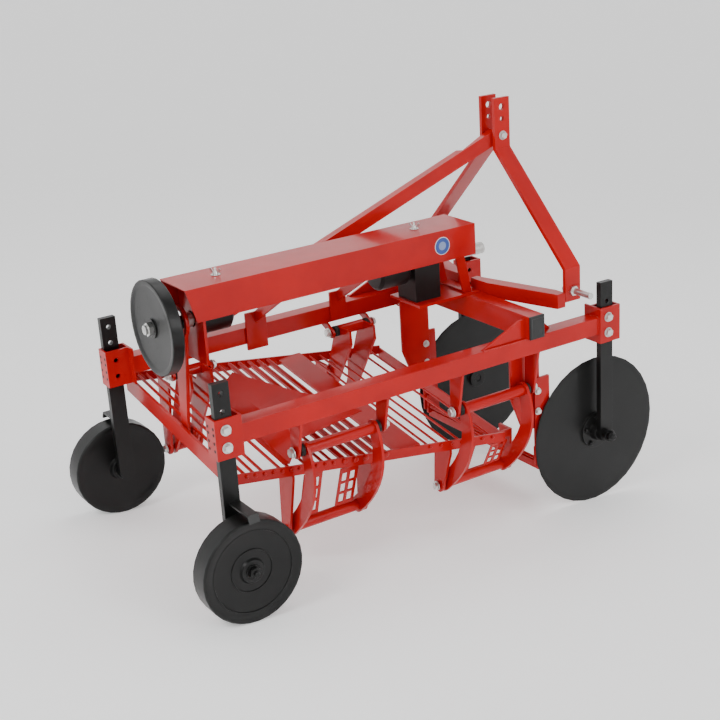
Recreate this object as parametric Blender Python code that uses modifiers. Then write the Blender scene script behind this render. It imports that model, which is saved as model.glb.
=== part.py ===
"""Tractor-mounted potato digger with a side-shaking sieve.

Metres, +X right, +Y forward towards the tractor, +Z up. Everything is modelled in the frame's own
axes, with Y = 0 at the rear wheel shanks and Z = 0 at the underside of the rear wheels. The whole
machine hangs on one empty, which is then tipped so that wheels and coulter discs share one floor.
"""
from math import asin, atan2, cos, hypot, pi, sin, tan

import bmesh
import bpy
from mathutils import Matrix, Vector

# ---- driving dimensions ---------------------------------------------------------------------
GAP = 0.0003                 # between pieces that touch or are bolted together
TUBE = 0.050                 # square tube of the frame
BEAM_SPACING = 0.632         # centre to centre of the two side beams
BEAM_X = BEAM_SPACING / 2
BEAM_Z = 0.464               # centre height of the side beams
BEAM_START = 0.047
BEAM_LENGTH = 1.153

CLAMP_WALL = 0.006
CLAMP_WIDTH = 0.048
CLAMP_LENGTH = 0.068
CLAMP_HEIGHT = 0.105
CLAMP_OFFSET = 0.008         # clamps stand this far outboard of the beam centres
END_PLATE_WIDTH = 0.068

SHANK_WIDTH = 0.045
SHANK_THICKNESS = 0.018
SHANK_HOLE = 0.014
SHANK_HOLE_PITCH = 0.046
WHEEL_SHANK_TOP = 0.606
COULTER_SHANK_TOP = 0.590
AXLE_RADIUS = 0.011

WHEEL_RADIUS = 0.1365
WHEEL_WIDTH = 0.065
WHEEL_OUTER_FACE = BEAM_X + 0.1115
COULTER_RADIUS = 0.225
COULTER_THICKNESS = 0.004
COULTER_DISC_X = BEAM_X - 0.027
COULTER_AXLE_Z = 0.121
DISC_SIDES = 32

CROSSBEAM_REAR = 0.935
CROSSBEAM_WIDTH = 0.050
CROSSBEAM_HEIGHT = 0.0655
CROSSBEAM_LENGTH = BEAM_SPACING + 0.078
BRACKET_PLATE = 0.008

HITCH_Y = 1.112              # centre plane of the mast and of the lower pins
MAST_BAR_WIDTH = 0.054
MAST_BAR_THICKNESS = 0.012
MAST_GAP = 0.048             # clear distance between the two mast plates
MAST_TOP = 1.093
MAST_HOLE_Z = 1.066
MAST_BEND_Z = 0.950
HITCH_PIN_Z = 0.588
HITCH_PIN_RADIUS = 0.009
HITCH_PIN_LENGTH = 0.075
LEG_SPREAD = BEAM_X + 0.010           # middle of each leg's foot from the centre line
LEG_FOOT_TOP = 0.655
LEG_FOOT_BOTTOM = 0.558
HITCH_ARM = 0.042            # section of the lower hitch arms
BRACE = 0.038                # section of the back stay

SHAFT_Z = 0.659
SHAFT_RADIUS = 0.0125
FLYWHEEL_RADIUS = 0.127
FLYWHEEL_WIDTH = 0.032
FLYWHEEL_REAR = -0.010
COVER_WIDTH = 0.145
COVER_TOP = 0.760
COVER_HEIGHT = 0.091
COVER_SHEET = 0.003
COVER_START = 0.060
COVER_END = 0.975
CARRIER_HALF_WIDTH = 0.060
TAB_LOW = 0.638              # lower end of the tabs that the outriggers are bolted to
CRANK_THROW = 0.003
CRANK_RADIUS = 0.015
CONROD_EYE = 0.032

SIEVE_RIGHT = BEAM_X - 0.062
SIEVE_LEFT = -BEAM_X - 0.064
SIEVE_REAR = 0.058
SIEVE_FRONT = 0.915
SIEVE_Z = 0.260              # rod centres at x = 0.25, y = 0.40
SIEVE_TILT_SIDE = -0.150     # rise per metre towards +X: the right edge is the low one
SIEVE_TILT_LONG = -0.150     # rise per metre towards +Y: the share end is the low one
ROD_RADIUS = 0.0045
FINGER_RADIUS = 0.0085
FRONT_ROD_RADIUS = 0.0038
# groups of rods from the rear to the front: first centre, pitch, count, radius
ROD_GROUPS = (
    (0.090, 0.0255, 11, ROD_RADIUS),
    (0.380, 0.0325, 5, FINGER_RADIUS),
    (0.655, 0.0360, 7, FRONT_ROD_RADIUS),
)
STEP_PLATE = (0.545, 0.625)  # rear and front edge of the flat plate between fingers and front rods
RAIL_HEIGHT = 0.028
RAIL_SHEET = 0.006
RAIL_RISE = 0.008            # rail top above the rod centres

ARM_REACH = 0.105            # lower pivots lie this far to the left of the upper ones
ARM_DROP = 0.262             # and this far below them
ARM_PLATE = 0.008
ARM_TUBE = 0.016
PIVOT_RADIUS = 0.008
PIVOT_CLEAR = 0.0010
HANGER_PLATE = 0.008
ARM_WIDTH = 0.045
LEFT_ARM_HEAD = 0.066        # the left arms are wide under the beam and taper to the foot
LEFT_ARM_FOOT = 0.042
ARM_BOW = (0.066, -0.115)    # the right arms bow outward round the sieve rail
BUSH_GAP = 0.018             # room for a rubber bush between arm and hanger plates
RUN_GAP = 0.008              # between an arm and the lugs of the sieve

SHARE_LEG_X = BEAM_X - 0.047          # middle of the upper leg plates
SHARE_LEG_START = 0.930
SHARE_LEG_WIDTH = 0.105
SHARE_PLATE = 0.008
SHARE_SIDE_START = 1.010
SHARE_SIDE_END = 1.064
SHARE_HALF_WIDTH = BEAM_X - 0.058
SHARE_REAR_Y = 1.018
SHARE_REAR_Z = 0.085
SHARE_TIP_Y = 1.105
SHARE_TIP_Z = 0.000

BEAM_TOP = BEAM_Z + TUBE / 2
BEAM_BOTTOM = BEAM_Z - TUBE / 2
BEAM_END = BEAM_START + BEAM_LENGTH
CLAMP_X = BEAM_X + CLAMP_OFFSET
SHANK_X = CLAMP_X + CLAMP_WIDTH / 2 - CLAMP_WALL - GAP - SHANK_THICKNESS / 2
REAR_SHANK_Y = BEAM_START - CLAMP_LENGTH + GAP + SHANK_WIDTH / 2
FRONT_SHANK_Y = BEAM_END + CLAMP_WALL + GAP + SHANK_WIDTH / 2
CROSSBEAM_Z = BEAM_TOP + GAP + CROSSBEAM_HEIGHT / 2
CROSSBEAM_Y = CROSSBEAM_REAR + CROSSBEAM_WIDTH / 2
# outriggers on the left beam: name, rear edge, front edge, lower edge
OUTRIGGERS = (
    ("outrigger_rear", 0.402, 0.470, BEAM_BOTTOM - 0.018),
    ("outrigger_front", 0.690, 0.746, BEAM_BOTTOM + 0.006),
)
CONROD_FOOT = (-0.045, 0.318)
# folded deflector: x, front edge, height of that edge above the rods
DEFLECTOR_SECTIONS = (
    (SIEVE_LEFT + 0.204, 0.292, 0.066),
    (-0.085, 0.325, 0.078),
    (0.020, 0.365, 0.092),
    (0.130, 0.415, 0.108),
    (SIEVE_RIGHT - 0.016, 0.455, 0.118),
)
DEFLECTOR_SHEET = 0.003

RED = (0.62, 0.012, 0.012, 1)
BLACK = (0.012, 0.012, 0.012, 1)
ZINC = (0.62, 0.62, 0.60, 1)


# ---- scene, materials and mesh helpers ------------------------------------------------------
for old in list(bpy.data.objects):
    bpy.data.objects.remove(old, do_unlink=True)

parts = bpy.data.collections.new("potato_digger")
bpy.context.scene.collection.children.link(parts)
machine = bpy.data.objects.new("machine", None)
parts.objects.link(machine)


def paint(name, colour, roughness, metallic):
    """Principled material for one part."""
    material = bpy.data.materials.new(name)
    material.use_nodes = True
    shader = material.node_tree.nodes["Principled BSDF"]
    shader.inputs["Base Color"].default_value = colour
    shader.inputs["Roughness"].default_value = roughness
    shader.inputs["Metallic"].default_value = metallic
    return material


FINISHES = {"red": (RED, 0.28, 0.0), "black": (BLACK, 0.42, 0.0), "zinc": (ZINC, 0.35, 1.0)}


def add_part(name, mesh, finish, location=(0, 0, 0), parent=machine):
    """Link a mesh as a named part with a material of its own."""
    part = bpy.data.objects.new(name, mesh)
    parts.objects.link(part)
    part.parent = parent
    part.location = location
    mesh.materials.clear()
    mesh.materials.append(paint(name, *FINISHES[finish]))
    return part


def mesh_of(bm):
    mesh = bpy.data.meshes.new("mesh")
    bm.to_mesh(mesh)
    bm.free()
    return mesh


def block(size, centre=(0, 0, 0), turn=None):
    """Cuboid from a cube primitive; turn is an optional rotation matrix about its centre."""
    bm = bmesh.new()
    bmesh.ops.create_cube(bm, size=1)
    bmesh.ops.scale(bm, vec=size, verts=bm.verts)
    if turn is not None:
        bmesh.ops.rotate(bm, matrix=turn, verts=bm.verts)
    bmesh.ops.translate(bm, vec=centre, verts=bm.verts)
    return mesh_of(bm)


AXIS_TURN = {"X": Matrix.Rotation(pi / 2, 3, "Y"), "Y": Matrix.Rotation(-pi / 2, 3, "X"),
             "Z": Matrix.Identity(3)}


def rod(radius, length, centre=(0, 0, 0), axis="Y", sides=16):
    """Round bar along one axis; axis may also be a direction vector."""
    bm = bmesh.new()
    bmesh.ops.create_cone(bm, cap_ends=True, segments=sides, radius1=radius, radius2=radius,
                          depth=length)
    if isinstance(axis, str):
        turn = AXIS_TURN[axis]
    else:
        turn = Vector(axis).to_track_quat("Z", "Y").to_matrix()
    bmesh.ops.rotate(bm, matrix=turn, verts=bm.verts)
    bmesh.ops.translate(bm, vec=centre, verts=bm.verts)
    return mesh_of(bm)


PLANE_TURN = {
    "XY": Matrix.Identity(4),
    "XZ": Matrix.Rotation(pi / 2, 4, "X"),
    "YZ": Matrix(((0, 0, 1, 0), (1, 0, 0, 0), (0, 1, 0, 0), (0, 0, 0, 1))),
}


def plate(outline, thickness, plane, level, holes=()):
    """Flat plate cut to an outline in the XY, XZ or YZ plane, centred at level across it."""
    curve = bpy.data.curves.new("outline", "CURVE")
    curve.dimensions = "2D"
    curve.fill_mode = "BOTH"
    curve.extrude = thickness / 2
    for loop in (outline, *holes):
        spline = curve.splines.new("POLY")
        spline.points.add(len(loop) - 1)
        for point, (u, v) in zip(spline.points, loop):
            point.co = (u, v, 0, 1)
        spline.use_cyclic_u = True
    drawn = bpy.data.objects.new("outline", curve)
    parts.objects.link(drawn)
    graph = bpy.context.evaluated_depsgraph_get()
    mesh = bpy.data.meshes.new_from_object(drawn.evaluated_get(graph))
    bpy.data.objects.remove(drawn)
    bm = bmesh.new()
    bm.from_mesh(mesh)
    bmesh.ops.remove_doubles(bm, verts=bm.verts, dist=0.00001)
    bmesh.ops.transform(bm, matrix=PLANE_TURN[plane], verts=bm.verts)
    shift = {"XY": (0, 0, level), "XZ": (0, level, 0), "YZ": (level, 0, 0)}[plane]
    bmesh.ops.translate(bm, vec=shift, verts=bm.verts)
    bmesh.ops.recalc_face_normals(bm, faces=bm.faces)
    return mesh_of(bm)


def turned(profile, centre=(0, 0, 0), axis="X", sides=32, phase=0.0):
    """Closed profile of (radius, height) points swept round an axis by a Screw modifier."""
    bm = bmesh.new()
    corners = [bm.verts.new((radius, 0, height)) for radius, height in profile]
    for here, there in zip(corners, corners[1:] + corners[:1]):
        if profile[corners.index(here)][0] > 0 or profile[corners.index(there)][0] > 0:
            bm.edges.new((here, there))
    wire = bpy.data.objects.new("profile", mesh_of(bm))
    parts.objects.link(wire)
    screw = wire.modifiers.new("turn", "SCREW")
    screw.steps = screw.render_steps = sides
    screw.use_merge_vertices = True
    screw.merge_threshold = 0.00001
    graph = bpy.context.evaluated_depsgraph_get()
    mesh = bpy.data.meshes.new_from_object(wire.evaluated_get(graph))
    bpy.data.objects.remove(wire)
    bm = bmesh.new()
    bm.from_mesh(mesh)
    bmesh.ops.remove_doubles(bm, verts=bm.verts, dist=0.00001)
    bmesh.ops.rotate(bm, matrix=Matrix.Rotation(phase, 3, "Z"), verts=bm.verts)
    bmesh.ops.rotate(bm, matrix=AXIS_TURN[axis], verts=bm.verts)
    bmesh.ops.translate(bm, vec=centre, verts=bm.verts)
    bmesh.ops.recalc_face_normals(bm, faces=bm.faces)
    return mesh_of(bm)


def combine(mesh, others, operation="UNION"):
    """Boolean of a mesh with one or more others, returned as a plain mesh."""
    body = bpy.data.objects.new("body", mesh)
    parts.objects.link(body)
    tools = []
    for other in others:
        tool = bpy.data.objects.new("tool", other)
        parts.objects.link(tool)
        tools.append(tool)
        step = body.modifiers.new("step", "BOOLEAN")
        step.operation = operation
        step.solver = "EXACT"
        step.object = tool
    graph = bpy.context.evaluated_depsgraph_get()
    result = bpy.data.meshes.new_from_object(body.evaluated_get(graph))
    for used in (body, *tools):
        bpy.data.objects.remove(used)
    return result


def together(meshes):
    """Several meshes that do not touch, as one operand for a Boolean."""
    bm = bmesh.new()
    for mesh in meshes:
        bm.from_mesh(mesh)
    return mesh_of(bm)


def mirrored(mesh):
    """Left-hand copy of a right-hand mesh."""
    bm = bmesh.new()
    bm.from_mesh(mesh)
    bmesh.ops.scale(bm, vec=(-1, 1, 1), verts=bm.verts)
    bmesh.ops.reverse_faces(bm, faces=bm.faces)
    return mesh_of(bm)


def pair(name, mesh, finish):
    """The same piece on the right and, mirrored, on the left."""
    add_part(name + "_left", mirrored(mesh), finish)
    add_part(name + "_right", mesh, finish)


def arc(centre, radius, start, end, steps):
    """Points along an arc; angles in degrees."""
    points = []
    for step in range(steps + 1):
        angle = (start + (end - start) * step / steps) * pi / 180
        points.append((centre[0] + radius * cos(angle), centre[1] + radius * sin(angle)))
    return points


def ring(centre, radius, sides=12):
    return arc(centre, radius, 0, 360 - 360 / sides, sides - 1)


# ---- side beams, clamps and shanks ----------------------------------------------------------
def side_beams():
    beam = block((TUBE, BEAM_LENGTH - 2 * GAP, TUBE), (BEAM_X, BEAM_START + BEAM_LENGTH / 2, BEAM_Z))
    pair("beam", beam, "red")


def clamp(end_y, direction):
    """Box of flat bar on the end of a beam; direction is -1 at the rear and 1 at the front."""
    near = end_y + direction * CLAMP_WALL
    far = end_y + direction * (CLAMP_WALL + CLAMP_LENGTH)
    end_plate = block((END_PLATE_WIDTH, CLAMP_WALL, CLAMP_HEIGHT),
                      (CLAMP_X + (CLAMP_WIDTH - END_PLATE_WIDTH) / 2, (end_y + near) / 2, BEAM_Z))
    outer = block((CLAMP_WIDTH, CLAMP_LENGTH + 0.001, CLAMP_HEIGHT),
                  (CLAMP_X, (near + far) / 2 - direction * 0.0005, BEAM_Z))
    pocket = block((CLAMP_WIDTH - 2 * CLAMP_WALL, CLAMP_LENGTH - CLAMP_WALL, 2 * CLAMP_HEIGHT),
                   (CLAMP_X, (near + far - direction * CLAMP_WALL) / 2, BEAM_Z))
    shell = combine(combine(outer, [end_plate]), [pocket], "DIFFERENCE")
    shank_y = REAR_SHANK_Y if direction < 0 else FRONT_SHANK_Y
    bolts = [rod(SHANK_HOLE / 2, 2 * CLAMP_WIDTH, (CLAMP_X, shank_y, BEAM_Z + side * SHANK_HOLE_PITCH / 2),
                 "X", 12) for side in (-1, 1)]
    return combine(shell, [together(bolts)], "DIFFERENCE")


def shank_bar(centre_y, top, foot):
    """Flat bar with a rounded foot, four adjusting holes and an axle hole."""
    half = SHANK_WIDTH / 2
    outline = [(centre_y + half, top), (centre_y - half, top)]
    outline += arc((centre_y, foot), half, 180, 360, 10)
    first = BEAM_Z - SHANK_HOLE_PITCH / 2
    holes = [ring((centre_y, first + step * SHANK_HOLE_PITCH), SHANK_HOLE / 2) for step in range(4)]
    holes = [hole for hole in holes if max(v for _, v in hole) < top - 0.006]
    return plate(outline, SHANK_THICKNESS, "YZ", SHANK_X, holes)


def wheel_shanks():
    """Rear shanks, each with its axle stub and the scraper that keeps the tread clean."""
    bar = shank_bar(REAR_SHANK_Y, WHEEL_SHANK_TOP, WHEEL_RADIUS)
    face = SHANK_X + SHANK_THICKNESS / 2
    axle_end = WHEEL_OUTER_FACE - 0.004
    axle_middle = ((axle_end + SHANK_X) / 2, REAR_SHANK_Y, WHEEL_RADIUS)
    axle = rod(AXLE_RADIUS, axle_end - SHANK_X, axle_middle, "X", 16)
    spacer_start = face - 0.002
    spacer_end = WHEEL_OUTER_FACE - WHEEL_WIDTH - GAP
    spacer_middle = ((spacer_start + spacer_end) / 2, REAR_SHANK_Y, WHEEL_RADIUS)
    spacer = rod(0.020, spacer_end - spacer_start, spacer_middle, "X", 16)
    tread = 2 * WHEEL_RADIUS
    level = tread + 0.016
    reach = WHEEL_OUTER_FACE + 0.012
    outline = [(face - 0.002, level), (reach - 0.008, level), (reach, level - 0.016),
               (reach + 0.004, level - 0.014), (reach - 0.005, level + 0.005), (face - 0.002, level + 0.005)]
    scraper = plate(outline, 0.030, "XZ", REAR_SHANK_Y + 0.006)
    pair("wheel_shank", combine(bar, [axle, spacer, scraper]), "black")


def coulter_shanks():
    """Front shanks with the axle stub that carries a coulter disc on their inner side."""
    bar = shank_bar(FRONT_SHANK_Y, COULTER_SHANK_TOP, COULTER_AXLE_Z)
    outer = SHANK_X + SHANK_THICKNESS / 2 + 0.012
    inner = COULTER_DISC_X - 0.012
    axle = rod(AXLE_RADIUS, outer - inner, ((outer + inner) / 2, FRONT_SHANK_Y, COULTER_AXLE_Z), "X", 16)
    pair("coulter_shank", combine(bar, [axle]), "black")


# ---- wheels and coulter discs ---------------------------------------------------------------
def wheels(pitch):
    """Pressed steel depth wheels with a dished outer face, turning on the rear axles."""
    outer = WHEEL_OUTER_FACE
    inner = WHEEL_OUTER_FACE - WHEEL_WIDTH
    bore = AXLE_RADIUS + PIVOT_CLEAR
    edge = 0.004
    dish = 0.014
    profile = [(bore, outer - 0.006), (0.030, outer - 0.006), (0.034, outer - dish),
               (0.095, outer - dish), (0.118, outer - 0.003), (WHEEL_RADIUS - edge, outer),
               (WHEEL_RADIUS, outer - edge), (WHEEL_RADIUS, inner + edge), (WHEEL_RADIUS - edge, inner),
               (0.118, inner + 0.003), (0.095, inner + dish), (0.034, inner + dish),
               (0.030, inner), (bore, inner)]
    profile = [(radius / cos(pi / DISC_SIDES) if radius >= WHEEL_RADIUS - edge else radius, height)
               for radius, height in profile]
    wheel = turned(profile, axis="X", sides=DISC_SIDES, phase=pi / DISC_SIDES)
    spinning_pair("wheel", wheel, REAR_SHANK_Y, WHEEL_RADIUS, pitch)


def coulters(pitch):
    """Plain disc coulters, each bolted to the flange of a hub."""
    disc_face = COULTER_DISC_X + COULTER_THICKNESS / 2
    disc_back = COULTER_DISC_X - COULTER_THICKNESS / 2
    hub_end = SHANK_X - SHANK_THICKNESS / 2 - 0.001
    bore = AXLE_RADIUS + PIVOT_CLEAR
    rim = COULTER_RADIUS / cos(pi / DISC_SIDES)
    profile = [(bore, hub_end), (0.026, hub_end), (0.028, disc_face + 0.008), (0.054, disc_face + 0.008),
               (0.054, disc_face), (rim - 0.010, disc_face), (rim, COULTER_DISC_X + 0.0006),
               (rim, COULTER_DISC_X - 0.0006), (rim - 0.010, disc_back), (0.030, disc_back),
               (0.030, disc_back - 0.012), (bore, disc_back - 0.012)]
    coulter = turned(profile, axis="X", sides=DISC_SIDES, phase=pi / DISC_SIDES)
    spinning_pair("coulter", coulter, FRONT_SHANK_Y, COULTER_AXLE_Z, pitch)


def spinning_pair(name, mesh, axle_y, axle_z, pitch):
    """Two round pieces on their axles, turned so that a flat of each rim faces the floor."""
    for side, own in (("right", mesh), ("left", mirrored(mesh))):
        part = add_part(f"{name}_{side}", own, "black", (0, axle_y, axle_z))
        part.rotation_euler = (-pitch, 0, 0)


# ---- crossbeam, mast and lower hitch --------------------------------------------------------
def crossbeam():
    """Tube across both beams, with the trapezoid foot plates and the shelf of the front bearing."""
    tube = block((CROSSBEAM_LENGTH, CROSSBEAM_WIDTH, CROSSBEAM_HEIGHT), (0, CROSSBEAM_Y, CROSSBEAM_Z))
    outer = BEAM_X + TUBE / 2
    low = BEAM_TOP + GAP
    feet = []
    for side in (-1, 1):
        outline = [(CROSSBEAM_REAR - 0.150, low), (CROSSBEAM_REAR + 0.002, low),
                   (CROSSBEAM_REAR + 0.002, low + 0.056), (CROSSBEAM_REAR - 0.020, low + 0.056)]
        feet.append(plate(outline, BRACKET_PLATE, "YZ", side * (outer - 0.004 - BRACKET_PLATE / 2)))
        front = [(CROSSBEAM_Y, low + 0.001), (CROSSBEAM_Y + 0.085, low), (CROSSBEAM_Y + 0.020, low + 0.060),
                 (CROSSBEAM_Y, low + 0.060)]
        feet.append(plate(front, BRACKET_PLATE, "YZ", side * (BEAM_X - 0.010)))
    shelf_top = CROSSBEAM_Z + CROSSBEAM_HEIGHT / 2 + 0.004
    shelf = block((0.150, 0.215, 0.008), (0, CROSSBEAM_REAR + CROSSBEAM_WIDTH - 0.1075, shelf_top - 0.004))
    add_part("crossbeam", combine(tube, [*feet, shelf]), "red")
    return shelf_top


def mast_legs():
    """A-frame legs: flat bars that stand together at the top link and splay to the lower pins."""
    t = MAST_BAR_THICKNESS
    near = MAST_GAP / 2
    slope = hypot(LEG_SPREAD - near, MAST_BEND_Z - LEG_FOOT_TOP)
    lift = t * (slope - (LEG_SPREAD - near)) / (MAST_BEND_Z - LEG_FOOT_TOP)
    outline = [(near, MAST_TOP), (near, MAST_BEND_Z - lift), (LEG_SPREAD - t / 2, LEG_FOOT_TOP - lift),
               (LEG_SPREAD - t / 2, LEG_FOOT_BOTTOM), (LEG_SPREAD + t / 2, LEG_FOOT_BOTTOM),
               (LEG_SPREAD + t / 2, LEG_FOOT_TOP), (near + t, MAST_BEND_Z), (near + t, MAST_TOP)]
    leg = plate(outline, MAST_BAR_WIDTH, "XZ", HITCH_Y)
    through = [rod(0.0095, 0.2, (0, HITCH_Y, MAST_HOLE_Z), "X", 16),
               rod(0.007, 0.2, (0, HITCH_Y, MAST_HOLE_Z - 0.034), "X", 12)]
    foot_hole = rod(HITCH_PIN_RADIUS + GAP, 0.1, (LEG_SPREAD, HITCH_Y, HITCH_PIN_Z), "X", 16)
    pair("mast_leg", combine(leg, [together([*through, foot_hole])], "DIFFERENCE"), "red")


def hitch_pins():
    """Lower link pins: a collar against the leg and a pin that points outward."""
    outer = LEG_SPREAD + MAST_BAR_THICKNESS / 2
    shank = rod(HITCH_PIN_RADIUS, HITCH_PIN_LENGTH + MAST_BAR_THICKNESS + 0.010,
                (outer + (HITCH_PIN_LENGTH - MAST_BAR_THICKNESS - 0.010) / 2, HITCH_Y, HITCH_PIN_Z), "X", 16)
    collar = rod(0.015, 0.008, (outer + GAP + 0.004, HITCH_Y, HITCH_PIN_Z), "X", 6)
    pair("hitch_pin", combine(shank, [collar]), "zinc")


def tilted_bar(start, end, width, height):
    """Square-section bar between two points."""
    start, end = Vector(start), Vector(end)
    along = end - start
    turn = along.to_track_quat("Y", "Z").to_matrix()
    return block((width, along.length, height), (start + end) / 2, turn)


def hitch_arms():
    """Lower arms from the middle of the crossbeam to the feet of the A-frame."""
    z = HITCH_PIN_Z - 0.022
    front = HITCH_Y - MAST_BAR_WIDTH / 2 - GAP
    rear = CROSSBEAM_REAR + CROSSBEAM_WIDTH + GAP
    half = HITCH_ARM / 2
    inner = LEG_SPREAD - MAST_BAR_THICKNESS / 2 - GAP
    foot = LEG_SPREAD + MAST_BAR_THICKNESS / 2
    outline = [(0.030, rear), (0.105, rear), (foot, front - 0.028), (foot, front),
               (inner - 0.030, front), (0.030, rear + 0.022)]
    arm = plate(outline, HITCH_ARM, "XY", z)
    pair("hitch_arm", arm, "red")


def mast_brace(landing_y):
    """Back stay from between the mast plates down to the left beam."""
    top = Vector((0, HITCH_Y, MAST_HOLE_Z - 0.085))
    foot = Vector((-BEAM_X, landing_y, BEAM_TOP))
    bar = tilted_bar(top, foot + (foot - top).normalized() * 0.03, BRACE, BRACE)
    bush = rod(0.013, MAST_GAP - 2 * GAP, top, "X", 16)
    below = block((0.3, 0.4, 0.2), (-BEAM_X, landing_y, BEAM_TOP + GAP - 0.1))
    cheek_x = MAST_GAP / 2 - GAP + 0.05
    cheeks = [block((0.1, 0.2, 0.3), (side * cheek_x, HITCH_Y, top.z)) for side in (-1, 1)]
    trimmed = combine(bar, [below, *cheeks], "DIFFERENCE")
    add_part("mast_brace", combine(trimmed, [bush]), "red")


# ---- drive line under the cover -------------------------------------------------------------
def shaft_cover():
    """Folded sheet over the shaft, with slanted rear edges."""
    half = COVER_WIDTH / 2
    low = COVER_TOP - COVER_HEIGHT
    sheet = COVER_SHEET
    outline = [(-half, low), (-half, COVER_TOP), (half, COVER_TOP), (half, low), (half - sheet, low),
               (half - sheet, COVER_TOP - sheet), (-half + sheet, COVER_TOP - sheet), (-half + sheet, low)]
    middle = (COVER_START + COVER_END) / 2
    shell = plate(outline, COVER_END - COVER_START, "XZ", middle)
    corner = [(COVER_START - 0.01, COVER_TOP - 0.003), (COVER_START - 0.01, low - 0.01),
              (COVER_START + 0.030, low - 0.01), (COVER_START + 0.001, COVER_TOP - 0.003)]
    add_part("shaft_cover", combine(shell, [plate(corner, 0.3, "YZ", 0)], "DIFFERENCE"), "red")


def drive_carrier():
    """Channel under the cover that carries both bearings, with its rear plate and front strut."""
    half = CARRIER_HALF_WIDTH
    top = COVER_TOP - COVER_SHEET - GAP
    sheet = 0.005
    depth = 0.035
    rear = 0.104
    front = CROSSBEAM_REAR - 0.012
    outline = [(-half, top - depth), (-half, top), (half, top), (half, top - depth),
               (half - sheet, top - depth), (half - sheet, top - sheet), (-half + sheet, top - sheet),
               (-half + sheet, top - depth)]
    channel = plate(outline, front - rear, "XZ", (front + rear) / 2)
    end = 0.066
    plate_outline = [(-end, 0.546), (end, 0.546), (end, top - 0.001), (-end, top - 0.001)]
    end_plate = plate(plate_outline, 0.008, "XZ", rear + 0.004, [ring((0, SHAFT_Z), 0.022, 24)])
    strut_low = CROSSBEAM_Z + CROSSBEAM_HEIGHT / 2 + 0.004 + GAP
    y = CROSSBEAM_REAR - 0.002
    strut_line = [(y, strut_low), (y + 0.030, strut_low), (y - 0.004, top - depth + 0.012),
                  (y - 0.034, top - depth + 0.012)]
    struts = [plate(strut_line, 0.007, "YZ", side * (half - 0.002)) for side in (-1, 1)]
    foot = block((2 * half, 0.028, 0.006), (0, y + 0.016, strut_low + 0.003))
    tab_top = top - 0.020
    tabs = [block((sheet, 0.040, tab_top - TAB_LOW),
                  (-half + sheet / 2, (start + stop) / 2, (tab_top + TAB_LOW) / 2))
            for _, start, stop, _ in OUTRIGGERS]
    add_part("drive_carrier", combine(channel, [end_plate, *struts, foot, *tabs]), "red")


def bearings(shelf_top):
    """Rear flange bearing on the end plate and front bearing block on the shelf."""
    bore = SHAFT_RADIUS + PIVOT_CLEAR
    rear_face = 0.112 + GAP
    profile = [(bore, 0.098), (0.034, 0.098), (0.046, 0.088), (0.046, 0.006), (0.050, 0.0), (bore, 0.0)]
    rear = turned(profile, (0, rear_face, SHAFT_Z), "Y", 32)
    add_part("rear_bearing", rear, "black")
    half = 0.045
    low = shelf_top + GAP
    outline = [(-half, low), (half, low), (half, SHAFT_Z + 0.010)]
    outline += arc((0, SHAFT_Z + 0.010), 0.040, 0, 180, 12)
    outline += [(-half, SHAFT_Z + 0.010)]
    front = plate(outline, 0.085, "XZ", 0.822, [ring((0, SHAFT_Z), bore, 16)])
    add_part("front_bearing", front, "black")


def drive_line():
    """Flywheel with its eccentric boss, and the shaft with the coupling and splined input end."""
    rear = FLYWHEEL_REAR
    seat = SHAFT_RADIUS + GAP
    rim = FLYWHEEL_RADIUS
    profile = [(0, 0), (0.026, 0), (0.026, 0.004), (0.108, 0.004), (0.114, 0), (rim - 0.002, 0),
               (rim, 0.002), (rim, FLYWHEEL_WIDTH - 0.002), (rim - 0.002, FLYWHEEL_WIDTH),
               (0.114, FLYWHEEL_WIDTH), (0.108, 0.022), (0.036, 0.022), (0.036, FLYWHEEL_WIDTH),
               (0, FLYWHEEL_WIDTH)]
    centre = (0, rear, 0)
    wheel = turned(profile, centre, "Y", DISC_SIDES)
    boss_length = SIEVE_REAR + 0.024 - rear - FLYWHEEL_WIDTH
    boss_y = rear + FLYWHEEL_WIDTH + boss_length / 2
    boss = rod(CRANK_RADIUS + CRANK_THROW, boss_length + 0.002, (0, boss_y - 0.001, -CRANK_THROW), "Y", 24)
    bore = rod(seat, 0.3, (0, rear, 0), "Y", 16)
    flywheel = combine(combine(wheel, [boss]), [bore], "DIFFERENCE")
    add_part("flywheel", flywheel, "black", (0, 0, SHAFT_Z))
    back = rear - 0.020
    front = COVER_END + 0.075
    shaft = rod(SHAFT_RADIUS, front - back, (0, (front + back) / 2, 0), "Y", 16)
    nut = rod(0.019, 0.012, (0, rear - 0.006 - GAP, 0), "Y", 6)
    collar = rod(0.020, 0.012, (0, 0.095, 0), "Y", 16)
    coupling = turned([(0, 0.100), (0.040, 0.100), (0.049, 0.092), (0.049, 0.008), (0.040, 0), (0, 0)],
                      (0, 0.668, 0), "Y", 24)
    stub = rod(0.0175, 0.085, (0, front - 0.0425, 0), "Y", 12)
    add_part("drive_shaft", combine(shaft, [nut, collar, coupling, stub]), "zinc", (0, 0, SHAFT_Z))


def outriggers():
    """Plates bolted to the inner face of the left beam, each with a bar up to a tab of the carrier."""
    inner = -BEAM_X + TUBE / 2 + GAP
    for name, start, stop, low in OUTRIGGERS:
        outline = [(start, low), (stop, low), (stop, BEAM_TOP + 0.045), (start, BEAM_TOP + 0.045)]
        upright = plate(outline, 0.008, "YZ", inner + 0.004)
        tab = -CARRIER_HALF_WIDTH - GAP
        reach = [(inner + 0.006, BEAM_TOP + 0.012), (tab, TAB_LOW), (tab, TAB_LOW + 0.024),
                 (tab - 0.030, TAB_LOW + 0.024), (inner + 0.006, BEAM_TOP + 0.045)]
        arm = plate(reach, 0.008, "XZ", (start + stop) / 2)
        add_part(name, combine(upright, [arm]), "red")


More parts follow.
